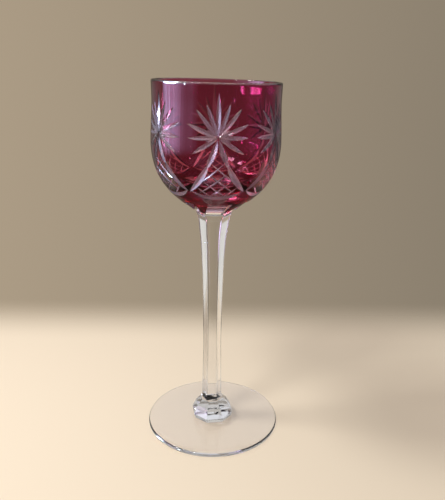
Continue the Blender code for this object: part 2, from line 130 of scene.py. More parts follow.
def pick(piece, kind, wanted):
    """Goes into edit mode on a piece with only the wanted faces or edges selected."""
    bpy.ops.object.mode_set(mode="EDIT")
    bpy.ops.mesh.select_mode(type=kind)
    bpy.ops.mesh.select_all(action="DESELECT")
    bpy.ops.object.mode_set(mode="OBJECT")
    for item in piece.data.polygons if kind == "FACE" else piece.data.edges:
        item.select = wanted(item)
    bpy.ops.object.mode_set(mode="EDIT")


def seat(piece, height, sides, radius, turn):
    """Draws the outline of a fused neighbour into the flat end of a piece, as a face of its own."""
    end = min(piece.data.polygons, key=lambda face: abs(face.center.z - height) - face.area)
    end_index = end.index
    pick(piece, "FACE", lambda face: face.index == end_index)
    bpy.ops.mesh.delete(type="ONLY_FACE")
    bpy.ops.mesh.select_mode(type="EDGE")
    bpy.ops.mesh.primitive_circle_add(
        vertices=sides, radius=radius, location=(0, 0, height), rotation=(0, 0, turn)
    )
    bpy.ops.mesh.edge_face_add()
    bpy.ops.mesh.select_all(action="DESELECT")
    bpy.ops.mesh.select_non_manifold(
        extend=False,
        use_wire=False,
        use_boundary=True,
        use_multi_face=False,
        use_non_contiguous=False,
        use_verts=False,
    )
    bpy.ops.mesh.bridge_edge_loops()
    bpy.ops.mesh.select_all(action="SELECT")
    bpy.ops.mesh.normals_make_consistent(inside=False)
    bpy.ops.object.mode_set(mode="OBJECT")


class Wire:
    """A shader socket; sums written with it add the Math nodes that work them out."""

    def __init__(self, socket):
        self.socket = socket

    def node(self, kind, settings=None, sockets=None, output=0):
        """Adds a node, sets it up, feeds its sockets and gives back one of its outputs."""
        tree = self.socket.id_data
        made = tree.nodes.new(kind)
        for name, value in (settings or {}).items():
            setattr(made, name, value)
        for name, value in (sockets or {}).items():
            if isinstance(value, Wire):
                tree.links.new(value.socket, made.inputs[name])
            else:
                made.inputs[name].default_value = value
        return Wire(made.outputs[output])

    def maths(self, operation, first, second):
        """Works out one sum on two wires or numbers."""
        return self.node("ShaderNodeMath", {"operation": operation}, {0: first, 1: second})

    def __add__(self, other):
        return self.maths("ADD", self, other)

    def __rsub__(self, other):
        return self.maths("SUBTRACT", other, self)

    def __mul__(self, other):
        return self.maths("MULTIPLY", self, other)

    __radd__ = __add__
    __rmul__ = __mul__


def new_finish(name):
    """An empty material, and the wire of its surface socket."""
    material = bpy.data.materials.new(name)
    material.use_nodes = True
    material.node_tree.nodes.clear()
    out = material.node_tree.nodes.new("ShaderNodeOutputMaterial")
    return material, Wire(out.inputs["Surface"])


def ripple(surface, scale, stretch, strength):
    """Slow waves that hand-worked glass keeps in its skin, as a normal."""
    place = surface.node("ShaderNodeTexCoord", output="Object")
    drawn = surface.node("ShaderNodeMapping", sockets={"Vector": place, "Scale": stretch})
    wave_sockets = {"Vector": drawn, "Scale": scale, "Detail": RIPPLE_DETAIL}
    wave = surface.node("ShaderNodeTexNoise", sockets=wave_sockets)
    bump_sockets = {"Strength": strength, "Distance": RIPPLE_DEPTH, "Height": wave}
    return surface.node("ShaderNodeBump", sockets=bump_sockets)


def let_lamps_through(surface, glass, shade):
    """Glass that lamps and the light of the room shine through, as far as its shade allows."""
    lamp = surface.node("ShaderNodeLightPath", output="Is Shadow Ray")
    room = surface.node("ShaderNodeLightPath", output="Is Diffuse Ray")
    mixed = surface.node("ShaderNodeMixShader", sockets={0: lamp + room, 1: glass, 2: shade})
    surface.socket.id_data.links.new(mixed.socket, surface.socket)


def crystal_finish(name, waves, shade_tone):
    """Clear polished glass with faint clouds in its polish and its own slow waves."""
    material, surface = new_finish(name)
    cloud = surface.node("ShaderNodeTexNoise", sockets=POLISH_CLOUDS)
    polish = surface.node(
        "ShaderNodeMapRange",
        sockets={
            "Value": cloud,
            "From Min": POLISH_CLOUD_RANGE[0],
            "From Max": POLISH_CLOUD_RANGE[1],
            "To Min": 0.0,
            "To Max": POLISH_ROUGHNESS,
        },
    )
    glass = surface.node(
        "ShaderNodeBsdfPrincipled",
        sockets={
            "Base Color": CRYSTAL_TINT,
            "Roughness": polish,
            "Transmission Weight": 1.0,
            "IOR": CRYSTAL_IOR,
            "Normal": ripple(surface, **waves),
        },
    )
    shade = surface.node("ShaderNodeBsdfTransparent", sockets={"Color": shade_tone})
    let_lamps_through(surface, glass, shade)
    return material


fused, fused_surface = new_finish("fused_glass")
fused_through = fused_surface.node("ShaderNodeBsdfTransparent")
fused.node_tree.links.new(fused_through.socket, fused_surface.socket)


def lean(piece):
    """Moves a piece a little off the axis, as hot glass is stuck on by eye, and dips the rim's right."""
    for vert in piece.data.vertices:
        shift = np.interp(vert.co.z, LEAN_HEIGHTS, LEAN_SHIFTS)
        vert.co.z -= vert.co.x * float(np.interp(vert.co.z, DIP_HEIGHTS, DIP_SLOPES))
        vert.co.x += float(shift)


def finish_clear(piece, material, fused_heights):
    """Clear glass all over, but nothing at all where a piece is fused to its neighbour."""
    piece.data.materials.clear()
    piece.data.materials.append(material)
    piece.data.materials.append(fused)
    for face in piece.data.polygons:
        flat = abs(face.normal.z) > LEVEL_NORMAL
        for height, reach in fused_heights:
            inside = max(piece.data.vertices[i].co.xy.length for i in face.vertices) < reach
            if flat and inside and abs(face.center.z - height) < FUSED_GAP:
                face.material_index = FUSED_INDEX
    lean(piece)


foot_middle = FOOT_RADIUS - FOOT_EDGE_ROUND
foot_eye = (FOOT_EYE, FOOT_HOLLOW)
foot_rest = (foot_middle - FOOT_REST_WIDTH, 0)
foot_brim = (foot_middle, FOOT_EDGE)
foot_seat = (FOOT_SEAT_RADIUS, KNOP_SEAT_Z)
hollow_handle = Vector((foot_rest[0] / FOOT_HANDLE_PARTS, 0))
slope_handle = Vector(((foot_middle - FOOT_SEAT_RADIUS) / FOOT_HANDLE_PARTS, 0))
foot_outline = bezier(foot_eye, hollow_handle, -hollow_handle, foot_rest, FOOT_SLOPE_STEPS)
foot_outline += [Vector(foot_rest)]
edge_low = (foot_middle, FOOT_EDGE_ROUND)
edge_high = (foot_middle, FOOT_EDGE - FOOT_EDGE_ROUND)
foot_outline += arc(edge_low, FOOT_EDGE_ROUND, -90, 0, FOOT_ROUND_STEPS)
foot_outline += arc(edge_high, FOOT_EDGE_ROUND, 0, 90, FOOT_ROUND_STEPS)[:-1]
foot_outline += bezier(foot_brim, -slope_handle, slope_handle, foot_seat, FOOT_SLOPE_STEPS)
foot_outline += [Vector(foot_seat)]
foot = lathe("crystal_foot", foot_outline, FOOT_SIDES)
seat(foot, KNOP_SEAT_Z, KNOP_SIDES, KNOP_BASE_RADIUS, KNOP_TURN)
bpy.ops.object.shade_smooth_by_angle(angle=FOOT_SMOOTH_ANGLE)
foot_finish = crystal_finish("foot_crystal", FOOT_RIPPLE, FOOT_SHADE)
finish_clear(foot, foot_finish, [(KNOP_SEAT_Z, KNOP_BASE_RADIUS + FUSED_GAP)])
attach(foot, "root")
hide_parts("foot")

# Knop: a solid button of clear crystal, fused between foot and stem.
# Its three tiers of eight flat facets are ground and polished by hand, so the edges are crisp.
knop_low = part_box("knop")[0]
stem_low, stem_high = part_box("stem")
KNOP_GIRDLE_RADIUS = 0.0126
KNOP_SHOULDER_RADIUS = 0.0099
KNOP_TOP_RADIUS = 0.0066
KNOP_BEVEL_HEIGHT = 0.0024
KNOP_FACET_HEIGHT = 0.0053
KNOP_EDGE = 0.00012
KNOP_RIPPLE = {"scale": 140.0, "stretch": (1, 1, 1), "strength": 0.10}
EDGE_SEGMENTS = 2
FUSED_REACH = 1.01
STEM_SIDES = 6
STEM_BASE_RADIUS = 0.0057
STEM_TURN = math.pi / STEM_SIDES
STEM_SEAT_Z = stem_low.z
knop_outline = [
    (KNOP_BASE_RADIUS, KNOP_SEAT_Z + FUSED_GAP),
    (KNOP_GIRDLE_RADIUS, knop_low.z + KNOP_BEVEL_HEIGHT),
    (KNOP_SHOULDER_RADIUS, knop_low.z + KNOP_BEVEL_HEIGHT + KNOP_FACET_HEIGHT),
    (KNOP_TOP_RADIUS, STEM_SEAT_Z),
]
knop = lathe("crystal_knop", knop_outline, KNOP_SIDES, KNOP_TURN)


def edge_ends(piece, edge):
    """The places of an edge's two ends."""
    return [piece.data.vertices[index].co for index in edge.vertices]


def knop_facet_edge(edge):
    """An edge between facets, and not around the knop's flat top or bottom."""
    heights = [end.z for end in edge_ends(knop, edge)]
    return any(KNOP_EDGE < z - KNOP_SEAT_Z and KNOP_EDGE < STEM_SEAT_Z - z for z in heights)


pick(knop, "EDGE", knop_facet_edge)
bpy.ops.mesh.bevel(offset=KNOP_EDGE, segments=EDGE_SEGMENTS, affect="EDGES")
bpy.ops.object.mode_set(mode="OBJECT")
seat(knop, STEM_SEAT_Z, STEM_SIDES, STEM_BASE_RADIUS, STEM_TURN)
bpy.ops.object.shade_flat()
knop_fused = [
    (KNOP_SEAT_Z + FUSED_GAP, KNOP_BASE_RADIUS * FUSED_REACH),
    (STEM_SEAT_Z, STEM_BASE_RADIUS + FUSED_GAP),
]
finish_clear(knop, crystal_finish("knop_crystal", KNOP_RIPPLE, CRYSTAL_SHADE), knop_fused)
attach(knop, "root")
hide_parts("knop")

# Stem: a drawn rod of clear crystal, stuck to the bowl while hot and ground to six long panels.
# The panels are hollowed lengthways by the wheel, so they flare out under the bowl.
bowl_low, bowl_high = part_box("bowl_lining")
STEM_WAIST_RADIUS = 0.0053
STEM_WAIST_RISE = 0.0410
STEM_NECK_RADIUS = 0.0074
STEM_NECK_DROP = 0.0129
STEM_TOP_RADIUS = 0.0104
STEM_NECK_ANGLE = math.radians(80.0)
STEM_TOP_ANGLE = math.radians(58.0)
STEM_WAIST_HANDLE = 0.0140
STEM_NECK_HANDLE = 0.0060
STEM_TOP_HANDLE = 0.0045
STEM_STEPS = 20
STEM_EDGE = 0.00018
STEM_SMOOTH_ANGLE = math.radians(15.0)
STEM_RIPPLE = {"scale": 45.0, "stretch": (1, 1, 0.25), "strength": 0.10}
RIDGE_CLOSENESS = 0.01
PANEL_STEPS = 6
PANEL_HOLLOW = 0.026
PANEL_RUN_OUT = 0.004
CREASE_RISE = 0.0003
CREASE_Z = bowl_low.z + CREASE_RISE
LEDGE_RADIUS = 0.0090
LEDGE_RISE = 0.0006
LEDGE_Z = CREASE_Z + LEDGE_RISE


def polar(angle, length):
    """A handle of a length at an angle in the outline's plane."""
    return Vector((math.cos(angle), math.sin(angle))) * length


stem_base = (STEM_BASE_RADIUS, STEM_SEAT_Z + FUSED_GAP)
stem_waist = (STEM_WAIST_RADIUS, stem_low.z + STEM_WAIST_RISE)
stem_neck = (STEM_NECK_RADIUS, stem_high.z - STEM_NECK_DROP)
stem_top = (STEM_TOP_RADIUS, CREASE_Z)
stem_up = Vector((0, STEM_WAIST_HANDLE))
stem_way = polar(STEM_NECK_ANGLE, STEM_NECK_HANDLE)
stem_outline = bezier(stem_base, stem_up, -stem_up, stem_waist, STEM_STEPS)
stem_outline += bezier(stem_waist, stem_up, -stem_way, stem_neck, STEM_STEPS)
stem_outline += bezier(stem_neck, stem_way, -polar(STEM_TOP_ANGLE, STEM_TOP_HANDLE), stem_top, STEM_STEPS)
stem_outline += [Vector(stem_top), Vector((LEDGE_RADIUS, LEDGE_Z))]
stem = lathe("crystal_stem", stem_outline, STEM_SIDES * PANEL_STEPS, STEM_TURN)
panel_half = math.pi / STEM_SIDES
for vert in stem.data.vertices:
    turn = math.atan2(vert.co.y, vert.co.x) % (2 * panel_half) - panel_half
    run_out = min(vert.co.z - STEM_SEAT_Z, CREASE_Z - vert.co.z) / PANEL_RUN_OUT
    hollow = PANEL_HOLLOW * min(max(run_out, 0), 1) * (1 - (math.tan(turn) / math.tan(panel_half)) ** 2)
    share = math.cos(panel_half) / math.cos(turn) * (1 - hollow)
    vert.co.x *= share
    vert.co.y *= share


def on_ridge(place):
    """A place on one of the ridges between two panels."""
    return abs(math.sin(STEM_SIDES / 2 * math.atan2(place.y, place.x))) < RIDGE_CLOSENESS


def stem_ridge(edge):
    """An edge that runs up a ridge."""
    first, second = edge_ends(stem, edge)
    return abs(first.z - second.z) > STEM_EDGE and on_ridge(first) and on_ridge(second)


pick(stem, "EDGE", stem_ridge)
bpy.ops.mesh.bevel(offset=STEM_EDGE, segments=EDGE_SEGMENTS, affect="EDGES")
bpy.ops.object.mode_set(mode="OBJECT")
bpy.ops.object.shade_smooth_by_angle(angle=STEM_SMOOTH_ANGLE)
stem_fused = [(STEM_SEAT_Z + FUSED_GAP, STEM_BASE_RADIUS * FUSED_REACH), (LEDGE_Z, STEM_TOP_RADIUS)]
finish_clear(stem, crystal_finish("stem_crystal", STEM_RIPPLE, CRYSTAL_SHADE), stem_fused)
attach(stem, "root")
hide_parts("stem")

# Bowl: a cup blown from clear glass in a thin coat of ruby, with a thick floor and a throat to the stem.
# The cutter grinds the pattern through the ruby with edged wheels, so that clear glass shows in the cuts.
RIM_Z = bowl_high.z
BOWL_SIDES = 200
RIM_RADIUS = 0.0338
WAIST_RADIUS = 0.0336
WAIST_DROP = 0.0100
BELLY_RADIUS = 0.0344
BELLY_DROP = 0.0310
UNDER_RADIUS = 0.0190
UNDER_RISE = 0.0060
THROAT_RADIUS = 0.0112
UNDER_ANGLE = math.radians(37.0)
THROAT_ANGLE = math.radians(45.0)
RIM_HANDLE = 0.0033
WAIST_HANDLE = 0.0055
BELLY_HANDLE = 0.0098
UNDER_HANDLE = 0.0155
FUNNEL_HANDLE = 0.0030
THROAT_HANDLE = 0.0030
BOWL_WALL = 0.0025
FLOOR_THICKNESS = 0.0116
FLOOR_HANDLE = 0.0180
INNER_BELLY_HANDLE = 0.0200
RIM_ROUND = 0.0008
RIM_STEPS = 5
BOWL_STEPS = 26
INNER_STEPS = 36
INNER_WALL_STEPS = 20
FLOOR_EYE = 0.0003

down = Vector((0, -1))
rim = Vector((RIM_RADIUS, RIM_Z))
waist = Vector((WAIST_RADIUS, RIM_Z - WAIST_DROP))
belly = Vector((BELLY_RADIUS, RIM_Z - BELLY_DROP))
under = Vector((UNDER_RADIUS, LEDGE_Z + UNDER_RISE))
throat = Vector((THROAT_RADIUS, LEDGE_Z))
under_handle = polar(UNDER_ANGLE, UNDER_HANDLE)
funnel_handle = -polar(UNDER_ANGLE, FUNNEL_HANDLE)
throat_handle = polar(THROAT_ANGLE, THROAT_HANDLE)
bowl_skin = bezier(rim, down * RIM_HANDLE, -down * RIM_HANDLE, waist, BOWL_STEPS)
bowl_skin += bezier(waist, down * WAIST_HANDLE, -down * WAIST_HANDLE, belly, BOWL_STEPS)
bowl_skin += bezier(belly, down * BELLY_HANDLE, under_handle, under, 2 * BOWL_STEPS)
bowl_skin += bezier(under, funnel_handle, throat_handle, throat, BOWL_STEPS)
bowl_skin = np.array(bowl_skin + [throat])
skin_runs = np.concatenate([[0], np.cumsum(np.hypot(*np.diff(bowl_skin, axis=0).T))])
skin_ways = np.gradient(bowl_skin, skin_runs, axis=0)


def skin_radius(run):
    """The bowl's radius at a run below the rim along its skin."""
    return float(np.interp(run, skin_runs, bowl_skin[:, 0]))


def skin_point(run, depth):
    """(radius, height) of the point a run below the rim along the bowl's skin, and a depth under it."""
    height = np.interp(run, skin_runs, bowl_skin[:, 1])
    way = Vector([np.interp(run, skin_runs, skin_ways[:, axis]) for axis in (0, 1)]).normalized()
    return Vector((skin_radius(run) + way.y * depth, height - way.x * depth))


belly_run = float(np.interp(-(RIM_Z - BELLY_DROP), -bowl_skin[:, 1], skin_runs))
inner_belly = skin_point(belly_run, BOWL_WALL)
inner_rim = RIM_RADIUS - BOWL_WALL
bowl_outline = [Vector(point) for point in bowl_skin[::-1] if point[1] < RIM_Z - RIM_ROUND]
bowl_outline += arc((RIM_RADIUS - RIM_ROUND, RIM_Z - RIM_ROUND), RIM_ROUND, 0, 90, RIM_STEPS)
bowl_outline += arc((inner_rim + RIM_ROUND, RIM_Z - RIM_ROUND), RIM_ROUND, 90, 180, RIM_STEPS)
inner_runs = np.linspace(RIM_ROUND, belly_run, INNER_WALL_STEPS)[1:-1]
bowl_outline += [skin_point(run, BOWL_WALL) for run in inner_runs]
floor_middle = (FLOOR_EYE, LEDGE_Z + FLOOR_THICKNESS)
inner_handle = (0, -INNER_BELLY_HANDLE)
floor_handle = (FLOOR_HANDLE, 0)
bowl_outline += bezier(inner_belly, inner_handle, floor_handle, floor_middle, INNER_STEPS)
bowl_outline += [Vector(floor_middle)]
bowl = lathe("cut_bowl", bowl_outline, BOWL_SIDES)

# Flutes: six hollows that a flat wheel grinds through the ruby under the bowl, one above each stem panel.
# Each runs from the crease at the stem's head up to the collar, and leaves a tongue of ruby at its side.
FLUTE_REACH_RADIUS = 0.0205
FLUTE_WHEEL_RADIUS = 0.0140
FLUTE_FOOT_WIDTH = 0.0090
FLUTE_HEAD_WIDTH = 0.0129
FLUTE_WHEEL_SIDES = 128
FLUTE_UNIT_WIDTH = 1
FLUTE_LEAN = math.radians(8.0)
panel_head = Vector((LEDGE_RADIUS * math.cos(math.pi / STEM_SIDES), LEDGE_Z))
flute_end = Vector(bowl_skin[np.searchsorted(-bowl_skin[:, 0], -FLUTE_REACH_RADIUS)])
flute_chord = flute_end - panel_head
flute_out = Vector((flute_chord.y, -flute_chord.x)).normalized()
wheel_middle = (panel_head + flute_end) / 2
wheel_middle += flute_out * math.sqrt(FLUTE_WHEEL_RADIUS**2 - (flute_chord.length / 2) ** 2)


def grind(piece, tools):
    """Takes the joined tools out of a piece, and throws them away."""
    bpy.ops.object.select_all(action="DESELECT")
    for tool in tools:
        tool.select_set(True)
    bpy.context.view_layer.objects.active = tools[0]
    if len(tools) > 1:
        bpy.ops.object.join()
    tool = bpy.context.object
    bpy.ops.object.mode_set(mode="EDIT")
    bpy.ops.mesh.select_all(action="SELECT")
    bpy.ops.mesh.normals_make_consistent(inside=False)
    bpy.ops.object.mode_set(mode="OBJECT")
    bpy.ops.object.select_all(action="DESELECT")
    bpy.context.view_layer.objects.active = piece
    piece.select_set(True)
    cut = piece.modifiers.new("cut", "BOOLEAN")
    cut.operation = "DIFFERENCE"
    cut.solver = "MANIFOLD"
    cut.object = tool
    bpy.ops.object.modifier_apply(modifier=cut.name)
    bpy.data.objects.remove(tool)


bpy.ops.object.select_all(action="DESELECT")
bpy.ops.mesh.primitive_cylinder_add(
    vertices=FLUTE_WHEEL_SIDES,
    radius=FLUTE_WHEEL_RADIUS,
    depth=FLUTE_UNIT_WIDTH,
    location=(0, -wheel_middle.x, wheel_middle.y),
    rotation=(0, math.pi / 2, 0),
)
bpy.ops.object.transform_apply(location=True, rotation=True, scale=True)
flute_wheel = bpy.context.object
for vert in flute_wheel.data.vertices:
    rise = (vert.co.z - panel_head.y) / (flute_end.y - panel_head.y)
    vert.co.x *= FLUTE_FOOT_WIDTH + rise * (FLUTE_HEAD_WIDTH - FLUTE_FOOT_WIDTH)
for index in range(STEM_SIDES):
    wheel = flute_wheel.copy()
    wheel.data = flute_wheel.data.copy()
    scene.collection.objects.link(wheel)
    wheel.data.transform(Matrix.Rotation(index * math.tau / STEM_SIDES, 4, "Z"))
    grind(bowl, [wheel])
bpy.data.objects.remove(flute_wheel)
for vert in bowl.data.vertices:
    share = min(max((vert.co.z - LEDGE_Z) / UNDER_RISE, 0), 1)
    vert.co = Matrix.Rotation(FLUTE_LEAN * share, 3, "Z") @ vert.co

# Cut pattern: six stars, each on two legs that spread over a latticed tent, with a swag slung below.
# Every cut is one pass of an edged wheel, so it is a V that tapers and rises out of the glass at its ends.
REPEATS = 6
PATTERN_TURN = math.radians(1.8)
FRONT_SPACING = math.radians(58.5)
STAR_DROP = 0.0250
RAYS = ((0.0, 0.0207), (20.5, 0.0167), (40.5, 0.0174), (67.5, 0.0164), (91.0, 0.0155), (121.5, 0.0152))
RAY_WIDTH = 0.0024
SPLIT_RAYS = (10.5, 31.0, 54.0, 80.0, 107.0)
SPLIT_START = 0.0012
SPLIT_END = 0.0066
SPLIT_WIDTH = 0.0014
UPPER_LEG = ((0.0003, 0.0005), (0.0020, 0.0080), (0.0062, 0.0160))
LOWER_LEG = ((0.0043, 0.0120), (0.0083, 0.0215), (0.0142, 0.0293))
UPPER_LEG_WIDTH = 0.0030
LOWER_LEG_WIDTH = 0.0036
SWAG_DROP = 0.0277
SWAG_SAG = 0.0058
SWAG_REACH = 0.0142
SWAG_WIDTH = 0.0030
LATTICE_FIRST_DROP = 0.0150
LATTICE_PITCH = 0.0066
LATTICE_LINES = 4
LATTICE_SLOPE = 1.12
LATTICE_WIDTH = 0.0012
LATTICE_LOOKS = 240
CUT_SLOPE = math.radians(36.0)
CUT_LIFT = 0.0006
CUT_STATIONS = 14
CUT_FULLNESS = 0.8
TIP_RISE = 0.00003
HAND_SWAY = 0.03
HAND_SWAY_DEGREES = 1
HAND_SEED = 11
PASS_SIDES = 3
PASS_RADIUS = 1
PASS_LENGTH = 1
PASS_KEEL = 0.1
BOWL_SMOOTH_ANGLE = math.radians(18.0)
hand = random.Random(HAND_SEED)


def on_bowl(across, run, out, turn):
    """Point on the bowl at a distance across the pattern's middle and a run below the rim."""
    radius, height = skin_point(run, -out)
    angle = across / skin_radius(run) + turn
    return Vector((radius * math.sin(angle), -radius * math.cos(angle), height))


bpy.ops.object.select_all(action="DESELECT")
bpy.ops.mesh.primitive_cylinder_add(vertices=PASS_SIDES, radius=PASS_RADIUS, depth=PASS_LENGTH)
wheel_pass = bpy.context.object


def wheel_way(edge):
    """An edge along the way of the wheel, from end to end of a pass."""
    first, second = edge_ends(wheel_pass, edge)
    return abs(first.z - second.z) > PASS_LENGTH / 2


pick(wheel_pass, "EDGE", wheel_way)
bpy.ops.mesh.subdivide(number_cuts=CUT_STATIONS - 1)
bpy.ops.object.mode_set(mode="OBJECT")


def wheel_cut(start, middle, end, width, turn):
    """One pass of the wheel along a bend on the bowl, from (across, drop) to (across, drop) of the star."""
    tool = wheel_pass.copy()
    tool.data = wheel_pass.data.copy()
    scene.collection.objects.link(tool)
    start, middle, end = Vector(start), Vector(middle), Vector(end)
    for vert in tool.data.vertices:
        share = vert.co.z + PASS_LENGTH / 2
        side = 0 if abs(vert.co.x) < PASS_KEEL else math.copysign(1, vert.co.x)
        place = start * (1 - share) ** 2 + middle * 2 * share * (1 - share) + end * share**2
        way = ((middle - start) * (1 - share) + (end - middle) * share).normalized()
        half = width / 2 * (4 * share * (1 - share)) ** CUT_FULLNESS
        if side:
            place = place + Vector((-way.y, way.x)) * side * (half + CUT_LIFT / math.tan(CUT_SLOPE))
            out = CUT_LIFT
        else:
            out = TIP_RISE - half * math.tan(CUT_SLOPE)
        vert.co = on_bowl(place.x, STAR_DROP + place.y, out, turn)
    return tool


def swayed(value):
    """A size as the hand repeats it, never quite the same."""
    return value * (1 + hand.uniform(-HAND_SWAY, HAND_SWAY))


def leg_across(drop):
    """Half the tent's width at a drop below the star, along the middle of the legs."""
    acrosses, drops = zip(UPPER_LEG[0], *LOWER_LEG)
    return float(np.interp(drop, drops, acrosses))


def lattice_ends(crossing):
    """Where a lattice line that crosses the middle at a drop runs out into a leg or the swag."""
    inside = []
    for drop in np.linspace(0, SWAG_DROP + SWAG_SAG, LATTICE_LOOKS):
        across = LATTICE_SLOPE * (drop - crossing)
        swag = SWAG_DROP + SWAG_SAG * (1 - (across / SWAG_REACH) ** 2)
        if abs(across) < leg_across(drop) and drop < swag:
            inside.append((across, float(drop)))
    return inside[0], inside[-1]


def mirrored(point, side):
    """A point of the pattern, or the same one across its middle."""
    return (point[0] * side, point[1])


def ray_way(degrees):
    """The way of a ray as the hand aims it, from straight up."""
    turn = math.radians(degrees + hand.uniform(-HAND_SWAY_DEGREES, HAND_SWAY_DEGREES))
    return Vector((math.sin(turn), -math.cos(turn)))


def pattern_cuts():
    """All cuts of one repeat: start, middle and end as (across, drop), and the width."""
    cuts = []
    for degrees, length in RAYS:
        for side in (-1, 1) if degrees else (1,):
            tip = ray_way(side * degrees) * swayed(length)
            cuts.append(((0, 0), tip / 2, tip, swayed(RAY_WIDTH)))
    for degrees in SPLIT_RAYS:
        for side in (-1, 1):
            way = ray_way(side * degrees)
            ends = way * SPLIT_START, way * swayed(SPLIT_END)
            cuts.append((ends[0], (ends[0] + ends[1]) / 2, ends[1], swayed(SPLIT_WIDTH)))
    for side in (-1, 1):
        cuts.append((*(mirrored(point, side) for point in UPPER_LEG), swayed(UPPER_LEG_WIDTH)))
        cuts.append((*(mirrored(point, side) for point in LOWER_LEG), swayed(LOWER_LEG_WIDTH)))
    swag_low = (0, SWAG_DROP + 2 * SWAG_SAG)
    cuts.append(((-SWAG_REACH, SWAG_DROP), swag_low, (SWAG_REACH, SWAG_DROP), swayed(SWAG_WIDTH)))
    for index in range(LATTICE_LINES):
        start, end = lattice_ends(LATTICE_FIRST_DROP + index * LATTICE_PITCH)
        for side in (-1, 1):
            ends = Vector(mirrored(start, side)), Vector(mirrored(end, side))
            cuts.append((ends[0], (ends[0] + ends[1]) / 2, ends[1], swayed(LATTICE_WIDTH)))
    return cuts


back_spacing = (math.tau - 2 * FRONT_SPACING) / (REPEATS - 2)
star_turns = [PATTERN_TURN]
for index in range(REPEATS - 1):
    star_turns.append(PATTERN_TURN + FRONT_SPACING + index * back_spacing)
repeats = [pattern_cuts() for _ in star_turns]
for same_cuts in zip(*repeats):
    grind(bowl, [wheel_cut(*cut, turn) for cut, turn in zip(same_cuts, star_turns)])
bpy.data.objects.remove(wheel_pass)
bpy.ops.object.select_all(action="DESELECT")
bowl.select_set(True)
bpy.context.view_layer.objects.active = bowl
bpy.ops.object.shade_smooth_by_angle(angle=BOWL_SMOOTH_ANGLE)

# Ruby coat: a fraction of a millimetre of gold-ruby glass on the outside of the clear cup.
# Where a cut goes deeper than the coat the glass is clear, so the colour follows the depth under the skin.
RUBY_COAT = 0.00022
RUBY_COAT_FADE = 0.00004
RUBY_RIPPLE = {"scale": 55.0, "stretch": (1, 1, 0.5), "strength": 0.05}
RUBY_TINT = (0.40, 0.048, 0.13, 1.0)
RUBY_SHADE = (0.58, 0.50, 0.50, 1.0)
RUBY_INSIDE = (0.48, 0.12, 0.22, 1.0)
DEEP_RUBY_TINT = (0.12, 0.002, 0.006, 1.0)
DEEP_RUBY_INSIDE = (0.26, 0.012, 0.03, 1.0)
DEEP_RUBY_DROP = 0.0580
PALE_RUBY_DROP = 0.0380
CUT_ROUGHNESS = 0.22
TENT_ROUGHNESS = 0.32
CUT_TINT = (0.42, 0.30, 0.40, 1.0)
CUT_GLOSS = (0.60, 0.40, 0.45, 1.0)
CUT_INSIDE = (0.48, 0.25, 0.27, 1.0)
TENT_INSIDE = (1.0, 0.60, 0.58, 1.0)
CUT_BLOOM = (0.62, 0.56, 0.72, 1.0)
CUT_BLOOM_SHARE = 0.17
TENT_BLOOM_SHARE = 0.20
TENT_DROP = 0.0450
TENT_TOP_DROP = 0.0320
COAT_RIM_DROP = 0.0006
COAT_FOOT_RISE = 0.0003
INNER_WALL_DEPTH = (0.0019, 0.0022)
DEEP = 0.01
SKIN_STRIDE = 2
MIX_FIRST_COLOUR = 6
MIX_SECOND_COLOUR = 7
MIX_COLOUR = 2
places = np.array([vert.co for vert in bowl.data.vertices])
around = np.hypot(places[:, 0], places[:, 1])
skin = bowl_skin[::SKIN_STRIDE]
gaps = np.full(len(places), DEEP)
for first, second in zip(skin, skin[1:]):
    way = second - first
    offset = np.column_stack([around, places[:, 2]]) - first
    share = np.clip((offset @ way) / (way @ way), 0, 1)
    gaps = np.minimum(gaps, np.hypot(*(offset - share[:, None] * way).T))
gaps[places[:, 2] > RIM_Z - COAT_RIM_DROP] = DEEP
gaps[places[:, 2] < LEDGE_Z + COAT_FOOT_RISE] = DEEP
depth_layer = bowl.data.attributes.new("coat_depth", "FLOAT", "POINT")
depth_layer.data.foreach_set("value", gaps.astype(np.float32))

ruby_finish, ruby_surface = new_finish("ruby_cased_crystal")
coat_depth = ruby_surface.node("ShaderNodeAttribute", {"attribute_name": "coat_depth"}, output="Fac")


def span(wire, low, high):
    """0 below the low value, 1 above the high one and a straight slope between them."""
    return wire.node("ShaderNodeMapRange", sockets={"Value": wire, "From Min": low, "From Max": high})


def blend(factor, first, second):
    """One colour or wire faded into another; the Mix node's colours have numbers, since its names repeat."""
    sockets = {"Factor": factor, MIX_FIRST_COLOUR: first, MIX_SECOND_COLOUR: second}
    return factor.node("ShaderNodeMix", {"data_type": "RGBA"}, sockets, output=MIX_COLOUR)


through = span(coat_depth, RUBY_COAT_FADE, RUBY_COAT)
coat = 1.0 - through
ground = through * (1.0 - span(coat_depth, *INNER_WALL_DEPTH))
ruby_place = ruby_surface.node("ShaderNodeTexCoord", output="Object")
ruby_height = ruby_surface.node("ShaderNodeSeparateXYZ", sockets={"Vector": ruby_place}, output="Z")
lower = 1.0 - span(ruby_height, RIM_Z - DEEP_RUBY_DROP, RIM_Z - PALE_RUBY_DROP)
tent = 1.0 - span(ruby_height, RIM_Z - TENT_DROP, RIM_Z - TENT_TOP_DROP)
clear_tint = blend(ground, CRYSTAL_TINT, CUT_TINT)
polished_sockets = {
    "Base Color": blend(coat, clear_tint, blend(lower, RUBY_TINT, DEEP_RUBY_TINT)),
    "Roughness": ground * (CUT_ROUGHNESS + tent * (TENT_ROUGHNESS - CUT_ROUGHNESS)),
    "Transmission Weight": 1.0,
    "IOR": CRYSTAL_IOR,
    "Normal": ripple(ruby_surface, **RUBY_RIPPLE),
}
satin_sockets = polished_sockets | {"Specular Tint": CUT_GLOSS}
polished = ruby_surface.node("ShaderNodeBsdfPrincipled", sockets=polished_sockets)
satin = ruby_surface.node("ShaderNodeBsdfPrincipled", sockets=satin_sockets)
glass = ruby_surface.node("ShaderNodeMixShader", sockets={0: ground, 1: polished, 2: satin})
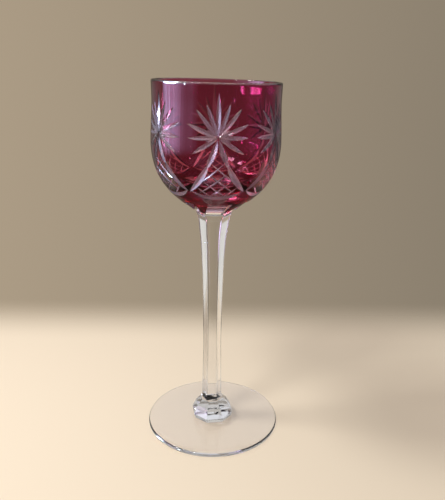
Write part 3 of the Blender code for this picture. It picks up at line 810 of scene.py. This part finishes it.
inner_sockets = {"Color": RUBY_INSIDE, "Roughness": 0.0, "IOR": CRYSTAL_IOR}
inner_upper = ruby_surface.node("ShaderNodeBsdfGlass", sockets=inner_sockets)
inner_lower = ruby_surface.node("ShaderNodeBsdfGlass", sockets=inner_sockets | {"Color": DEEP_RUBY_INSIDE})
inner_glass = ruby_surface.node("ShaderNodeMixShader", sockets={0: lower, 1: inner_upper, 2: inner_lower})
behind = ruby_surface.node("ShaderNodeNewGeometry", output="Backfacing")
body = ruby_surface.node("ShaderNodeMixShader", sockets={0: coat * behind, 1: glass, 2: inner_glass})
inner_cut_sockets = {"Color": CUT_INSIDE, "Roughness": CUT_ROUGHNESS, "IOR": CRYSTAL_IOR}
inner_cut_upper = ruby_surface.node("ShaderNodeBsdfRefraction", sockets=inner_cut_sockets)
inner_tent_sockets = inner_cut_sockets | {"Color": TENT_INSIDE}
inner_cut_lower = ruby_surface.node("ShaderNodeBsdfGlass", sockets=inner_tent_sockets)
inner_cut_mix = {0: tent, 1: inner_cut_upper, 2: inner_cut_lower}
inner_cut = ruby_surface.node("ShaderNodeMixShader", sockets=inner_cut_mix)
body = ruby_surface.node("ShaderNodeMixShader", sockets={0: ground * behind, 1: body, 2: inner_cut})
bloom = ruby_surface.node("ShaderNodeBsdfDiffuse", sockets={"Color": CUT_BLOOM})
bloom_share = ground * (1.0 - behind) * (CUT_BLOOM_SHARE + tent * (TENT_BLOOM_SHARE - CUT_BLOOM_SHARE))
body = ruby_surface.node("ShaderNodeMixShader", sockets={0: bloom_share, 1: body, 2: bloom})
clear_shade = ruby_surface.node("ShaderNodeBsdfTransparent", sockets={"Color": CRYSTAL_SHADE})
ruby_shade = ruby_surface.node("ShaderNodeBsdfTransparent", sockets={"Color": RUBY_SHADE})
shade = ruby_surface.node("ShaderNodeMixShader", sockets={0: coat, 1: clear_shade, 2: ruby_shade})
let_lamps_through(ruby_surface, body, shade)
finish_clear(bowl, ruby_finish, [(LEDGE_Z, THROAT_RADIUS * FUSED_REACH)])
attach(bowl, "root")
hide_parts("bowl_lining", "ruby_field", "ruby_collar")
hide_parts(*(f"ruby_lattice_{index + 1}" for index in range(REPEATS)))

# Floor: a plain pale cloth under the glass, which fades into the taupe of the room behind it.
# Its edges stay outside the picture, apart from the soft one at the back. Rays mirrored in the glass see
# painted reflection tones instead of its lit cream: painted grey close to the knop, cream only beside and
# behind the stem, and painted dark in front, along the middle and under the bowl, told apart by the ray's
# length.
FLOOR_DROP = 0.0002
FLOOR_REACH = 0.45
FLOOR_BACK = 0.185
FLOOR_FADE = 0.085
CREAM = (0.82, 0.70, 0.555, 1.0)
# Painted reflection tones of the cloth, seen only by rays mirrored in the glass: a painted dark and a painted
# grey.
CLOTH_PAINTED_DARK_REFLECTION = (0.07, 0.055, 0.05, 1.0)
CLOTH_PAINTED_GREY_REFLECTION = (0.56, 0.55, 0.53, 1.0)
KNOP_REACH = (0.030, 0.065)
THROAT_REACH = (0.125, 0.145)
WIDE_ASIDE = (0.13, 0.18)
OPEN_ASIDE = (0.015, 0.05)
OPEN_BACK = (-0.02, 0.02)
MIRRORED_ONCE = (0.0, 1.0)
bpy.ops.object.select_all(action="DESELECT")
bpy.ops.mesh.primitive_plane_add(size=2 * FLOOR_REACH, location=(0, FLOOR_BACK - FLOOR_REACH, -FLOOR_DROP))
floor = bpy.context.object
floor.name = "floor"
bpy.ops.object.transform_apply(location=True, rotation=True, scale=True)
cloth, cloth_surface = new_finish("pale_cloth")
cloth_place = cloth_surface.node("ShaderNodeTexCoord", output="Object")
cloth_back = cloth_surface.node("ShaderNodeSeparateXYZ", sockets={"Vector": cloth_place}, output="Y")


def ramp(wire, low, high):
    """0 below the low value, 1 above the high one and a soft step between them."""
    settings = {"interpolation_type": "SMOOTHSTEP"}
    return wire.node("ShaderNodeMapRange", settings, {"Value": wire, "From Min": low, "From Max": high})


fade = ramp(cloth_back, FLOOR_BACK - FLOOR_FADE, FLOOR_BACK)
cloth_side = cloth_surface.node("ShaderNodeSeparateXYZ", sockets={"Vector": cloth_place}, output="X")
cloth_aside = cloth_surface.node("ShaderNodeMath", {"operation": "ABSOLUTE"}, {0: cloth_side})
cloth_glints = cloth_surface.node("ShaderNodeLightPath", output="Glossy Depth")
cloth_open = span(cloth_aside, *OPEN_ASIDE) * span(cloth_back, *OPEN_BACK)
cloth_reach = cloth_surface.node("ShaderNodeLightPath", output="Ray Length")
# Painted reflection: long mirrored rays near the middle, under the bowl, get the painted dark tone, as do
# rays in front.
cloth_painted_dark_reach = span(cloth_reach, *THROAT_REACH) * (1.0 - span(cloth_aside, *WIDE_ASIDE))
cloth_painted_far = blend(cloth_open * (1.0 - cloth_painted_dark_reach), CLOTH_PAINTED_DARK_REFLECTION, CREAM)
# Painted grey reflection for short mirrored rays close to the knop.
cloth_painted_reflection = blend(span(cloth_reach, *KNOP_REACH), CLOTH_PAINTED_GREY_REFLECTION, cloth_painted_far)
cloth_tone = blend(span(cloth_glints, *MIRRORED_ONCE), CREAM, cloth_painted_reflection)
cloth_look = cloth_surface.node("ShaderNodeBsdfDiffuse", sockets={"Color": cloth_tone})
cloth_gone = cloth_surface.node("ShaderNodeBsdfTransparent")
cloth_mix = cloth_surface.node("ShaderNodeMixShader", sockets={0: fade, 1: cloth_look, 2: cloth_gone})
cloth.node_tree.links.new(cloth_mix.socket, cloth_surface.socket)
floor.data.materials.append(cloth)

# Room: taupe all round for the eye, painted lighter on the left and darker on the right, as painted light
# from the left.
# For rays through or off the glass it is a painted room: painted dark in front and in most mirrored rays,
# with pale cards low behind on each side, a pale ceiling, a dim right wall, and a curtained window on the
# left, whose folds and bright gaps glow as painted reflections in the bowl. None of these painted tones
# lights anything.
# Its own light is soft and even, and bounces often, because it passes many walls of glass.
# Painted backdrop shading, lighter left than right, and the painted reflection tones of the room seen only in
# the glass.
ROOM_LEFT = (0.43, 0.345, 0.245, 1.0)
ROOM_RIGHT = (0.245, 0.205, 0.152, 1.0)
PAINTED_DARK_GLASS_ROOM = (0.10, 0.085, 0.075, 1.0)
ROOM_TURN = (-0.45, 0.45)
FRONT_FADE = (0.0, 0.5)
BACK_SHARE = 0.35
BACK_FADE = (0.05, 0.30)
CARD_ASIDE = (0.42, 0.50)
CARD_BACK = (0.25, 0.40)
CARD_DOWN = (0.0, 0.08)
PAINTED_CARD_TONE = (0.75, 0.735, 0.70, 1.0)
PAINTED_CEILING_TONE = (0.75, 0.76, 0.80, 1.0)
PAINTED_CURTAIN_GLOW = (5.2, 4.0, 6.8, 1.0)
CURTAIN_DIM = 0.17
CURTAIN_FOOT = (-0.30, -0.02)
CURTAIN_HEAD = 0.45
CURTAIN_HEAD_FADE = (0.0, 0.1)
CURTAIN_LEFT = (0.50, 0.70)
CURTAIN_END = 0.30
CURTAIN_END_FADE = (0.0, 0.15)
CURTAIN_DIM_FADE = (-0.62, -0.18)
FOLD_STRETCH = (0.0, 1.0, 0.06)
FOLD_SIZES = {"Scale": 16.0, "Detail": 3.0}
FOLD_RANGE = (0.25, 0.75)
FOLD_SHARE = 0.5
GAP_LEFT = (0.90, 0.97)
GAP_FOLDS = (0.55, 0.66)
RIGHT_FADE = (0.75, 0.97)
RIGHT_FOOT = (-0.25, -0.1)
CEILING_FADE = (0.25, 0.50)
PAINTED_SKY_GLOW = (7.0, 6.6, 9.5, 1.0)
PAINTED_RIGHT_WALL_TONE = (0.20, 0.12, 0.17, 1.0)
ROOM_LIGHT = (1.0, 0.98, 0.95, 1.0)
ROOM_LIGHT_STRENGTH = 0.33
GLASS_BOUNCES = 32
MIRROR_BOUNCES = 12
scene.cycles.max_bounces = GLASS_BOUNCES
scene.cycles.transmission_bounces = GLASS_BOUNCES
scene.cycles.transparent_max_bounces = GLASS_BOUNCES
scene.cycles.glossy_bounces = MIRROR_BOUNCES
world = bpy.data.worlds.new("room")
scene.world = world
world.use_nodes = True
world.node_tree.nodes.clear()
world_out = world.node_tree.nodes.new("ShaderNodeOutputWorld")
room = Wire(world_out.inputs["Surface"])
room_way = room.node("ShaderNodeTexCoord", output="Generated")
room_x = room.node("ShaderNodeSeparateXYZ", sockets={"Vector": room_way}, output="X")
room_y = room.node("ShaderNodeSeparateXYZ", sockets={"Vector": room_way}, output="Y")
room_z = room.node("ShaderNodeSeparateXYZ", sockets={"Vector": room_way}, output="Z")
room_left = 0.0 - room_x
room_front = 0.0 - room_y
room_down = 0.0 - room_z
room_aside = room.node("ShaderNodeMath", {"operation": "ABSOLUTE"}, {0: room_x})
# Backdrop taupe with painted shading: lighter towards the left, darker towards the right.
room_tone = blend(span(room_x, *ROOM_TURN), ROOM_LEFT, ROOM_RIGHT)
card = ramp(room_aside, *CARD_ASIDE) * ramp(room_y, *CARD_BACK) * ramp(room_down, *CARD_DOWN)
fold_way = room.node("ShaderNodeMapping", sockets={"Vector": room_way, "Scale": FOLD_STRETCH})
folds = room.node("ShaderNodeTexNoise", sockets=FOLD_SIZES | {"Vector": fold_way})
fold_light = (1.0 - FOLD_SHARE) + FOLD_SHARE * ramp(folds, *FOLD_RANGE)
curtain_height = ramp(room_z, *CURTAIN_FOOT) * ramp(CURTAIN_HEAD - room_z, *CURTAIN_HEAD_FADE)
curtain_back = ramp(room_left, *CURTAIN_LEFT) * ramp(CURTAIN_END - room_y, *CURTAIN_END_FADE)
curtain_front = CURTAIN_DIM + (1.0 - CURTAIN_DIM) * ramp(room_y, *CURTAIN_DIM_FADE)
curtain = curtain_height * curtain_back * curtain_front * fold_light
gap = ramp(room_left, *GAP_LEFT) * ramp(folds, *GAP_FOLDS) * curtain
right_wall = ramp(room_x, *RIGHT_FADE) * ramp(room_z, *RIGHT_FOOT)
room_glints = span(room.node("ShaderNodeLightPath", output="Glossy Depth"), *MIRRORED_ONCE)
painted_dark_mirrored = room_glints * (1.0 - BACK_SHARE * ramp(room_y, *BACK_FADE))
# Painted room for the glass: painted dark front and mirrored rays, cards, right wall, ceiling, then a glowing
# painted curtain and sky.
painted_glass_room = blend(ramp(room_front, *FRONT_FADE), room_tone, PAINTED_DARK_GLASS_ROOM)
painted_glass_room = blend(card, painted_glass_room, PAINTED_CARD_TONE)
painted_glass_room = blend(painted_dark_mirrored, painted_glass_room, PAINTED_DARK_GLASS_ROOM)
painted_glass_room = blend(right_wall, painted_glass_room, PAINTED_RIGHT_WALL_TONE)
painted_glass_room = blend(ramp(room_z, *CEILING_FADE), painted_glass_room, PAINTED_CEILING_TONE)
painted_glass_room = blend(room_glints * curtain, painted_glass_room, PAINTED_CURTAIN_GLOW)
painted_glass_room = blend(room_glints * gap, painted_glass_room, PAINTED_SKY_GLOW)
seen = room.node("ShaderNodeLightPath", output="Is Camera Ray")
glinting = room.node("ShaderNodeLightPath", output="Is Reflection Ray")
scattered = room.node("ShaderNodeLightPath", output="Is Diffuse Ray")
bent = room.node("ShaderNodeLightPath", output="Is Transmission Ray")
shown_tone = blend(seen, painted_glass_room, room_tone)
shown = room.node("ShaderNodeBackground", sockets={"Color": shown_tone, "Strength": 1.0})
lit = room.node("ShaderNodeBackground", sockets={"Color": ROOM_LIGHT, "Strength": ROOM_LIGHT_STRENGTH})
in_sight = seen + glinting * (1.0 - scattered) + bent
room_mix = room.node("ShaderNodeMixShader", sockets={0: in_sight, 1: lit, 2: shown})
world.node_tree.links.new(room_mix.socket, room.socket)

# Lamps: two small soft boxes high on the left, one further to the front, cast the shadows on the cloth.
# The panes of the window on the left only glint in the glass: they don't light the cloth or shine through.
GLASS_FOOT = (0, 0, 0)
BOWL_MIDDLE = (0, 0, 0.18)
KEY_LIGHT = (1.0, 0.98, 0.96)
KEY_SIZE = (0.13, 0.13)
KEY_LEFT_PLACE = (-0.354, -0.01, 0.59)
KEY_LEFT_POWER = 2.3
KEY_FRONT_PLACE = (-0.25, -0.255, 0.60)
KEY_FRONT_POWER = 1.8
DAYLIGHT = (0.50, 0.74, 1.0)
PANE_HEIGHT = 0.075
PANES = {
    "window_back_pane": {"place": (-1.50, 0.12, 0.2125), "width": 0.22, "power": 68.0},
    "window_front_pane": {"place": (-1.50, -0.25, 0.2125), "width": 0.34, "power": 108.0},
    "window_far": {"place": (-1.20, -0.88, 0.2125), "width": 0.12, "power": 38.0},
}


def lamp(name, place, target, size, power, colour, on_cloth=True):
    """A soft box at a place, turned to a target; the size is its width and height."""
    light = bpy.data.lights.new(name, "AREA")
    light.shape = "RECTANGLE"
    light.size, light.size_y = size
    light.energy = power
    light.color = colour
    thing = bpy.data.objects.new(name, light)
    scene.collection.objects.link(thing)
    way = Vector(target) - Vector(place)
    thing.matrix_world = Matrix.Translation(place) @ way.to_track_quat("-Z", "Y").to_matrix().to_4x4()
    thing.visible_camera = False
    thing.visible_diffuse = on_cloth
    if not on_cloth:
        light.use_nodes = True
        strength = Wire(light.node_tree.nodes["Emission"].inputs["Strength"])
        mirrored_light = span(strength.node("ShaderNodeLightPath", output="Glossy Depth"), *MIRRORED_ONCE)
        bent_light = span(strength.node("ShaderNodeLightPath", output="Transmission Depth"), *MIRRORED_ONCE)
        glinting_light = 1.0 - bent_light * (1.0 - mirrored_light)
        light.node_tree.links.new(glinting_light.socket, strength.socket)


lamp("key_left", KEY_LEFT_PLACE, GLASS_FOOT, KEY_SIZE, KEY_LEFT_POWER, KEY_LIGHT)
lamp("key_front", KEY_FRONT_PLACE, GLASS_FOOT, KEY_SIZE, KEY_FRONT_POWER, KEY_LIGHT)
for name, pane in PANES.items():
    pane_size = (pane["width"], PANE_HEIGHT)
    lamp(name, pane["place"], BOWL_MIDDLE, pane_size, pane["power"], DAYLIGHT, on_cloth=False)

# Camera: at the photograph's place, just above the rim and looking down at the stem, a little tilted.
# Its lens follows from the focal length in pixels, because the picture's height fills the sensor's width.
CAMERA_PLACE = (0.0, -0.309, 0.2098)
CAMERA_PITCH = math.radians(18.12)
CAMERA_YAW = math.radians(0.83)
CAMERA_ROLL = math.radians(0.90)
FOCAL_PIXELS = 579.6
PICTURE_HEIGHT = 500
SENSOR_WIDTH = 36.0
CLIP_START = 0.005
camera_data = bpy.data.cameras.new("camera")
camera_data.sensor_width = SENSOR_WIDTH
camera_data.lens = FOCAL_PIXELS * SENSOR_WIDTH / PICTURE_HEIGHT
camera_data.clip_start = CLIP_START
camera = bpy.data.objects.new("camera", camera_data)
scene.collection.objects.link(camera)
turned = Matrix.Rotation(-CAMERA_YAW, 4, "Z") @ Matrix.Rotation(math.pi / 2 - CAMERA_PITCH, 4, "X")
camera.matrix_world = Matrix.Translation(CAMERA_PLACE) @ turned @ Matrix.Rotation(CAMERA_ROLL, 4, "Z")
scene.camera = camera
